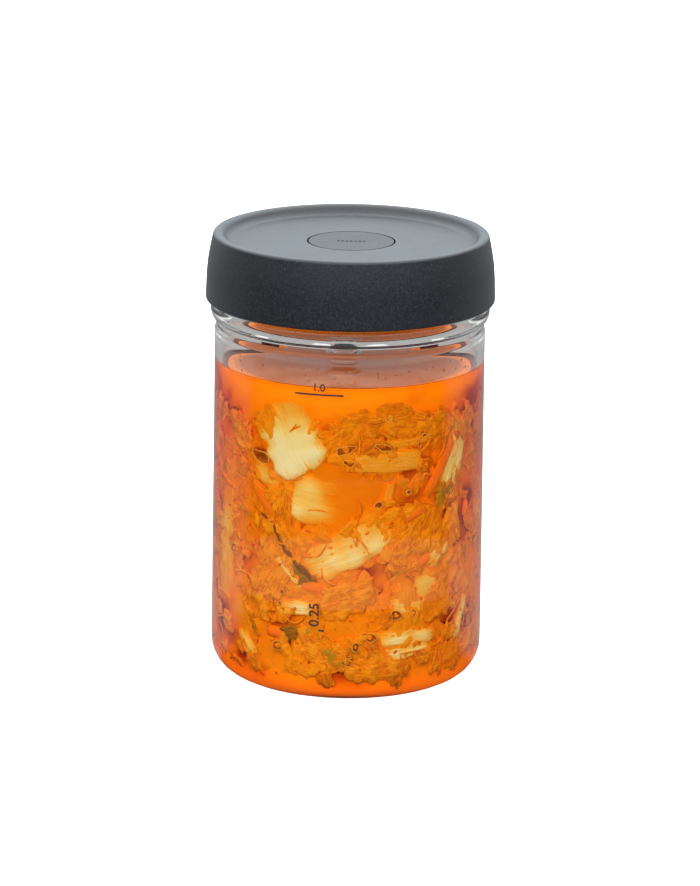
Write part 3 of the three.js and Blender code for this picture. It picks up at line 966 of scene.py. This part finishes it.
class JAR_OT_lid(bpy.types.Operator):
    """The grey lid with its raised lip, and the round insert"""

    bl_idname = "jar.lid"
    bl_label = "Lid"

    def execute(self, context):
        top = LID_HIGH.z
        floor_z = INSERT_HIGH.z
        insert = INSERT_HIGH.x
        pocket = insert + INSERT_GAP
        outline = eased([
            (0, LID_CEILING_Z, 0),
            (LID_INNER_RADIUS, LID_CEILING_Z, 0.8),
            (LID_INNER_RADIUS, LID_LOW.z, 0.4),
            (LID_RADIUS, LID_LOW.z, 1.2),
            *((LID_RADIUS - inset, z, ease) for inset, z, ease in LID_SIDE),
            (LIP_OUTER_RADIUS, top, 1.1),
            (LIP_INNER_RADIUS, top, 1.6),
            (LID_FLOOR_RADIUS, floor_z, 3.0),
            (pocket, floor_z, 0.15),
            (pocket, floor_z - INSERT_DEPTH, 0.2),
            (0, floor_z - INSERT_DEPTH, 0),
        ], 6)
        points, faces = turned(outline)
        plastic = grained_plastic("lid_plastic", tint("lid"), 0.4)
        mesh_piece("jar_lid", points, faces, plastic, ["lid"])
        dish = 0.1
        disc = eased([
            (0, INSERT_LOW.z, 0),
            (insert, INSERT_LOW.z, 0.1),
            (insert, floor_z, 0.2),
            (0, floor_z - dish, 0),
        ], 5)
        points, faces = turned(disc)
        insert_finish = grained_plastic("insert_plastic", scaled(tint("lid"), 0.8), 0.5)
        mesh_piece("jar_insert", points, faces, insert_finish, ["lid_insert"])
        self.dashes(floor_z - dish, plastic)
        return {"FINISHED"}

    def dashes(self, ground, plastic):
        """A row of small raised bars in the middle of the insert."""
        bars, row_reach = 7, 5
        half_width, half_length, rise, root = 0.55, 0.8, 0.35, 0.3
        pile = Pile()
        u, v = unit_grid(12, 6)
        for middle in np.linspace(-row_reach, row_reach, bars):
            x = middle + half_width * u
            y = half_length * v * np.sqrt(1 - 0.6 * u**4)
            crown = rise * (1 - u**8) * (1 - v**8)
            top = np.stack([x, y, ground + crown], -1)
            low = np.stack([x, y, np.full_like(x, ground - root)], -1)
            pile.slab(top, low)
        pile.piece("insert_dashes", plastic, "insert_plastic")


class JAR_OT_stem(bpy.types.Operator):
    """The polished steel stem under the lid"""

    bl_idname = "jar.stem"
    bl_label = "Stem"

    def execute(self, context):
        slant = 0.1
        outline = eased([
            (0, STEM_LOW.z, 0),
            (STEM_COLLAR_RADIUS - STEM_CHAMFER, STEM_LOW.z, 0.3),
            (STEM_COLLAR_RADIUS, STEM_LOW.z + STEM_CHAMFER + slant, 0.3),
            (STEM_COLLAR_RADIUS, STEM_DISC_LOW_Z - slant, 0.2),
            (STEM_DISC_RADIUS, STEM_DISC_LOW_Z, 0.4),
            (STEM_DISC_RADIUS, STEM_DISC_HIGH_Z, 0.4),
            (STEM_RADIUS, STEM_DISC_HIGH_Z + slant, 0.3),
            (STEM_RADIUS, STEM_HIGH.z, 0),
            (0, STEM_HIGH.z, 0),
        ], 5)
        points, faces = turned(outline, STEM_STEPS)
        points = np.array(points) + (STEM_X, 0, 0)
        mesh_piece("jar_stem", points, faces, polished_steel(), ["lid_stem"])
        return {"FINISHED"}


class JAR_OT_brine(bpy.types.Operator):
    """Clear orange brine, and the cloudy brine behind it"""

    bl_idname = "jar.brine"
    bl_label = "Brine"

    def execute(self, context):
        sizes = settings().sizes
        level = sizes.brine_level / MM
        self.liquid(level)
        self.haze(level, sizes.haze_depth / MM)
        return {"FINISHED"}

    def liquid(self, level):
        """Reaches just into the wall, and climbs it in a small meniscus."""
        high = BODY_RADIUS_HIGH - WALL
        low = BODY_RADIUS_LOW - WALL + BRINE_BITE
        floor = BASE_THICKNESS - BRINE_BITE
        wall_taper = 0.03
        flat_from = 6
        outline = eased([
            (0, floor, 0),
            (low, floor, BASE_CORNER - WALL + BRINE_BITE),
            (low, BODY_LOW_Z, 4),
            (high + wall_taper + BRINE_BITE, level + MENISCUS_HEIGHT + 0.1, 0),
        ], 10)
        for reach in np.linspace(0, MENISCUS_WIDTH, 8)[1:]:
            climb = MENISCUS_HEIGHT * math.exp(-reach / MENISCUS_FALL)
            outline.append((high - reach, level + climb))
        outline += [(high - flat_from, level), (0, level)]
        points, faces = turned(outline)
        mesh_piece("brine", points, faces, brine_liquid())

    def haze(self, level, depth):
        """A soft rolling body at the depth where the brine stops being clear."""
        rows, columns = 90, 220
        under_surface, glass_gap = 1.0, 0.1
        top_low, top_blend, top_share = 112, 12, 0.55
        edge_reach, edge_height = 1.4, 1.2
        foot_height = 9
        floor = BASE_THICKNESS - 0.05
        heights = np.linspace(floor, level - under_surface, rows)[:, None] * np.ones(columns)
        turn = np.ones((rows, 1)) * np.linspace(0, 2 * math.pi, columns, endpoint=False)
        roll = self.roll(turn, heights)
        upper = np.clip((heights - top_low) / top_blend, 0, 1)
        inner = (depth + roll) * (1 - upper) + top_share * depth * upper
        edge = edge_reach * np.exp((heights - heights[-1]) / edge_height)
        grounded = np.clip((heights - floor) / foot_height, 0, 1) ** 0.7
        wall = on_wall(turn, heights, inner * grounded + edge + glass_gap).reshape(-1, 3)
        points = np.concatenate([wall, [(0, 0, floor), (0, 0, heights[-1, 0])]])
        # How far the body dips back, which its material paints as shade.
        gloom = np.append(roll * (1 - upper) * grounded, (0, 0))
        faces = self.drum(rows, columns)
        mesh_piece("brine_haze", points, faces, cloudy_brine(), attributes={"gloom": gloom})

    def roll(self, turn, heights):
        """How far the body swells and dips, calm where the front shows brine alone."""
        draws = Draws(settings().sizes.seed)
        round_reach, lean = 50, 0.7 * heights
        x, y = round_reach * np.sin(turn), -round_reach * np.cos(turn)
        roll = 1.1 * draws.waves(x + lean, y - lean, 30)
        roll = roll + 0.7 * draws.waves(x - lean, y + lean, 13)
        for angle, z, wide, tall in OPEN_BRINE:
            away = ((np.degrees(np.sin(turn)) - angle) / wide) ** 2 + ((heights - z) / tall) ** 2
            calm = np.where(np.cos(turn) > 0, np.exp(-away), 0)
            roll = roll * (1 - calm) - 0.2 * calm
        return roll

    def drum(self, rows, columns):
        """Faces of a round wall of rows and columns, closed by a point below and one above."""
        last = rows * columns
        faces = []
        for j in range(columns):
            k = (j + 1) % columns
            faces.append((last, k, j))
            for a in range(0, last - columns, columns):
                faces.append((a + j, a + k, a + columns + k, a + columns + j))
            faces.append((last - columns + j, last - columns + k, last + 1))
        return faces


class JAR_OT_cabbage(bpy.types.Operator):
    """Pale ribs, folded straps and crinkled leaves"""

    bl_idname = "jar.cabbage"
    bl_label = "Cabbage"

    def execute(self, context):
        draws = Draws(settings().sizes.seed + 1)
        self.ribs(draws)
        self.leaves(draws)
        return {"FINISHED"}

    def ribs(self, draws):
        pile = Pile()
        for spot in FRONT_RIBS:
            wall_slab(pile, draws, spot, RIB)
        for spot in FRONT_STRAPS:
            wall_slab(pile, draws, spot, STRAP)
        further = Scatter(
            44, heights=(16, 110), lengths=(12, 26), widths=(5, 12), depths=(1.3, 2.6),
            tones=(0.1, 0.7), bend=2, front_share=0.3)
        for spot in further.spots(draws):
            wall_slab(pile, draws, spot, RIB)
        finish = vegetable("cabbage_rib", tint("rib"), tint("rib_shade"), 0.2)
        pile.piece("cabbage_ribs", finish, "cabbage", ["kimchi"])

    def leaves(self, draws):
        sizes = settings().sizes
        finish = vegetable("cabbage_leaf", tint("leaf"), tint("leaf_shade"), 0.32, veined=True)
        pile = Pile()
        for spot in FRONT_LEAVES:
            wall_slab(pile, draws, spot, LEAF)
        further = Scatter(
            sizes.leaf_count, heights=(12, 112), lengths=(12, 26), widths=(7, 15), depths=(1.2, 2.6),
            tones=(0.1, 1.0), bend=3, front_share=0.55)
        for spot in further.spots(draws):
            wall_slab(pile, draws, spot, LEAF)
        pile.piece("cabbage_leaves", finish, "cabbage", ["kimchi"])
        pile = Pile()
        bits = Scatter(
            sizes.crumple_count, heights=(9, 113), lengths=(5, 13), widths=(3, 8), depths=(0.7, 2.2),
            tones=(0.0, 1.1), bend=2)
        for spot in bits.spots(draws):
            wall_slab(pile, draws, spot, CRUMPLE)
        pile.piece("cabbage_crumples", finish, "cabbage", ["kimchi"])


class JAR_OT_shreds(bpy.types.Operator):
    """Carrot strips, scallion, chilli flakes and thin strands"""

    bl_idname = "jar.shreds"
    bl_label = "Shreds"

    def execute(self, context):
        high = 112
        self.kind("carrot_strips", FRONT_CARROTS, STICK, 0.1, tint("carrot"), (0.9, 0.2, 0.02), Scatter(
            36, heights=(9, high), lengths=(6, 15), widths=(2.2, 4.2), depths=(0.8, 2.2)))
        self.kind("scallions", FRONT_OLIVES_AND_CRACK_SHADE, CRUMPLE, 0.15, tint("olive"), (0.2, 0.07, 0.01), Scatter(
            24, heights=(9, high), lengths=(5, 11), widths=(2, 5), depths=(1.0, 2.4)))
        self.kind("chilli_flakes", [], FLAKE, 0.05, tint("chilli"), (0.85, 0.14, 0.01), Scatter(
            190, heights=(7, high), lengths=(0.9, 2.6), widths=(0.5, 1.2), depths=(0.6, 1.6)))
        self.kind("cabbage_threads", [], THREAD, 0.05, tint("leaf"), tint("leaf_shade"), Scatter(
            settings().sizes.thread_count, heights=(8, high), lengths=(5, 15), widths=(0.4, 1.1),
            depths=(0.4, 1.8), tones=(0.3, 1.2), bend=3))
        return {"FINISHED"}

    def kind(self, name, chosen, form, relief, base, second, further):
        """One kind: pieces chosen for the front, and further ones at random."""
        draws = Draws(settings().sizes.seed + len(name))
        pile = Pile()
        for spot in [*chosen, *further.spots(draws)]:
            wall_slab(pile, draws, spot, form)
        pile.piece(name, vegetable(name, base, second, relief), "cabbage")


class JAR_OT_bubbles(bpy.types.Operator):
    """Air pockets against the glass with their hollows painted dark as shade, and mist and drops over the
    brine
    """

    bl_idname = "jar.bubbles"
    bl_label = "Bubbles"

    def execute(self, context):
        draws = Draws(settings().sizes.seed + 3)
        places = list(POCKETS)
        for angle, z in spread(draws, 34, 12, 112, front_share=0.15):
            width = draws.between(1.4, 5.5)
            places.append((angle, z, width, width * draws.between(0.5, 0.95)))
        rims, hollows = Pile(), Pile()
        for angle, z, width, height in places:
            self.pocket(draws, rims, hollows, (angle, z, draws.between(-25, 25)), (width, height))
        rim_finish, graph = material("pocket_rim")
        graph.surface(graph.plastic(Base_Color=(0.98, 0.5, 0.08, 1), Roughness=0.4))
        rims.piece("pocket_rims", rim_finish, "cabbage")
        # The hollows are painted dark, as shade.
        hollows.piece("pocket_hollows", painted_shade_hollow(), "cabbage")
        self.drops(draws)
        self.fog()
        return {"FINISHED"}

    def pocket(self, draws, rims, hollows, place, size):
        """A thin pale rim round a dished hollow painted dark as shade."""
        angle, height, tilt = place
        steps = 28
        turn = np.linspace(0, 2 * math.pi, steps + 1)
        wobble = 1 + 0.3 * draws.waves(6 * np.cos(turn), 6 * np.sin(turn), 8)
        slope = math.radians(tilt)

        def ring(scale, depth, inset=0.0):
            a = (size[0] / 2 * scale - inset) * wobble * np.cos(turn)
            b = (size[1] / 2 * scale - inset) * wobble * np.sin(turn)
            across = (a * math.cos(slope) - b * math.sin(slope)) / inner_radius(height)
            z = height + a * math.sin(slope) + b * math.cos(slope)
            return on_wall(math.radians(angle) + across, z, np.full_like(z, depth))

        rim_form = [(0.3, 0.5, 0), (0.22, 0.6, 0.12), (0.3, 0.5, 0.24)]
        front = np.stack([ring(1, near, inset) for near, _, inset in rim_form])
        back = np.stack([ring(1, far, inset) for _, far, inset in rim_form])
        rims.slab(front, back)
        levels = [(1.0, 0.42), (0.85, 0.8), (0.6, 1.3), (0.3, 1.6), (0.05, 1.7)]
        inset, thickness = 0.15, 0.25
        bowl = np.stack([ring(scale, depth, inset) for scale, depth in levels])
        shell = np.stack([ring(scale, depth + thickness, inset) for scale, depth in levels])
        spot = np.stack([ring(scale, 0) for scale, _ in levels])
        spot[..., 2] -= height
        hollows.slab(bowl, shell, grain=spot)

    def fog(self):
        """A breath of fine mist on the inner wall over the brine."""
        level = settings().sizes.brine_level / MM
        heights = np.linspace(level + 1.8, level + 11, 12)
        wall_gap = 0.06
        points, faces = turned([(float(inner_radius(z)) - wall_gap, z) for z in heights])
        mesh_piece("mist", points, faces, mist_veil(level))

    def drops(self, draws):
        """Small flat drops on the inner wall over the brine."""
        points, faces = [], []
        steps, rings = 12, 4
        wall_radius, over_brine, highest = 50, 2.5, 136
        stretch, bulge, bite = 1.3, 0.5, 0.05
        level = settings().sizes.brine_level / MM
        for _ in range(settings().sizes.droplet_count):
            angle = draws.between(-math.pi, math.pi)
            z = draws.between(level + over_brine, highest)
            size = draws.between(0.12, 0.36)
            first = len(points)
            for i in range(rings + 1):
                lean = math.pi / 2 * i / rings
                for j in range(steps):
                    turn = 2 * math.pi * j / steps
                    across = angle + size * math.cos(lean) * math.cos(turn) / wall_radius
                    up = z + stretch * size * math.cos(lean) * math.sin(turn)
                    depth = bulge * size * math.sin(lean) - bite
                    points.append(on_wall(across, up, depth).tolist())
            for i in range(rings):
                for j in range(steps):
                    k = (j + 1) % steps
                    a = first + i * steps
                    faces.append((a + j, a + k, a + steps + k, a + steps + j))
            faces.append(tuple(first + steps - 1 - j for j in range(steps)))
            faces.append(tuple(first + rings * steps + j for j in range(steps)))
        finish, graph = material("water_drop")
        shader = graph.plastic(Base_Color=(1, 1, 1, 1), Roughness=0.0, IOR=1.33, Transmission_Weight=1.0)
        graph.surface(lamp_clear(graph, shader))
        mesh_piece("water_drops", points, faces, finish)


class JAR_OT_print(bpy.types.Operator):
    """Plain graduations on the outside of the glass"""

    bl_idname = "jar.print"
    bl_label = "Print"

    marks: StringProperty(name="Marks", description="Litres marked on the glass", default="1.0 0.25")

    def execute(self, context):
        finish, graph = material("dark_print")
        graph.surface(graph.plastic(Base_Color=rgba(tint("print")), Roughness=0.45))
        full, quarter = self.marks.split()
        self.line("fill_line", finish, angle=-12.6, height=125.9, length=19.3, width=0.7)
        self.number("fill_number", finish, full, angle=-12.6, height=127.3, size=4.2)
        self.line("quarter_line", finish, angle=-10.2, height=30.9, length=2.2, width=0.8)
        self.number("quarter_number", finish, quarter, angle=-13.4, height=37.2, size=5.6, upright=True)
        return {"FINISHED"}

    def wrap(self, x, z, angle, lift):
        """A flat point wrapped onto the outside of the glass."""
        radius = float(body_radius(z)) + lift
        turn = math.radians(angle) + x / radius
        return radius * math.sin(turn), -radius * math.cos(turn), z

    def line(self, name, finish, angle, height, length, width):
        """A thin bar, from just inside the glass to just outside."""
        points = []
        steps = 24
        for lift in (PRINT_LIFT, -PRINT_BITE):
            for end in (-0.5, 0.5):
                for i in range(steps + 1):
                    x = length * (i / steps - 0.5)
                    points.append(self.wrap(x, height + end * width, angle, lift))
        row = steps + 1
        faces = []
        for i in range(steps):
            faces.append((i, i + 1, row + i + 1, row + i))
            faces.append((2 * row + i + 1, 2 * row + i, 3 * row + i, 3 * row + i + 1))
            faces.append((i + 1, i, 2 * row + i, 2 * row + i + 1))
            faces.append((row + i, row + i + 1, 3 * row + i + 1, 3 * row + i))
        faces.append((0, row, 3 * row, 2 * row))
        faces.append((row + steps, steps, 2 * row + steps, 3 * row + steps))
        mesh_piece(name, points, faces, finish, smooth=False)

    def number(self, name, finish, text, angle, height, size, upright=False):
        """A number, turned to read upwards where it is upright."""
        letters = bpy.data.curves.new(name, "FONT")
        letters.body = text
        letters.size = size
        letters.align_x = "CENTER"
        letters.extrude = PRINT_LIFT / 2
        letters.offset = 0.018 * size
        holder = bpy.data.objects.new(name + "_flat", letters)
        bpy.context.scene.collection.objects.link(holder)
        bpy.context.view_layer.update()
        solved = holder.evaluated_get(bpy.context.evaluated_depsgraph_get())
        flat = bpy.data.meshes.new_from_object(solved)
        points = []
        for x, y, lift in (vertex.co for vertex in flat.vertices):
            if upright:
                x, y = 0.35 * size - y, x
            points.append(self.wrap(x, height + y, angle, PRINT_LIFT / 2 + lift))
        faces = [tuple(polygon.vertices) for polygon in flat.polygons]
        bpy.data.objects.remove(holder)
        mesh_piece(name, points, faces, finish, smooth=False)


class JAR_PT_panel(bpy.types.Panel):
    """The jar's operators and settings"""

    bl_idname = "JAR_PT_panel"
    bl_label = "Fermentation Jar"
    bl_space_type = "VIEW_3D"
    bl_region_type = "UI"
    bl_category = "Jar"

    def draw(self, context):
        for operator in OPERATORS:
            self.layout.operator(operator.bl_idname)
        for group in (context.scene.jar_settings.sizes, context.scene.jar_settings.colours):
            for name in group.bl_rna.properties.keys():
                if name not in ("rna_type", "name"):
                    self.layout.prop(group, name)


OPERATORS = (
    JAR_OT_stage,
    JAR_OT_glass,
    JAR_OT_lid,
    JAR_OT_stem,
    JAR_OT_brine,
    JAR_OT_cabbage,
    JAR_OT_shreds,
    JAR_OT_bubbles,
    JAR_OT_print,
)
CLASSES = (JarSizes, JarColours, JarSettings, *OPERATORS, JAR_PT_panel)


def register():
    for item in CLASSES:
        bpy.utils.register_class(item)
    bpy.types.Scene.jar_settings = PointerProperty(type=JarSettings)


def unregister():
    del bpy.types.Scene.jar_settings
    for item in reversed(CLASSES):
        bpy.utils.unregister_class(item)


def main():
    register()
    for operator in OPERATORS:
        group, name = operator.bl_idname.split(".")
        getattr(getattr(bpy.ops, group), name)()
    boxes = [[list(corner) for corner in box] for box in (CAD_BOX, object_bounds())]


if __name__ == "__main__":
    main()
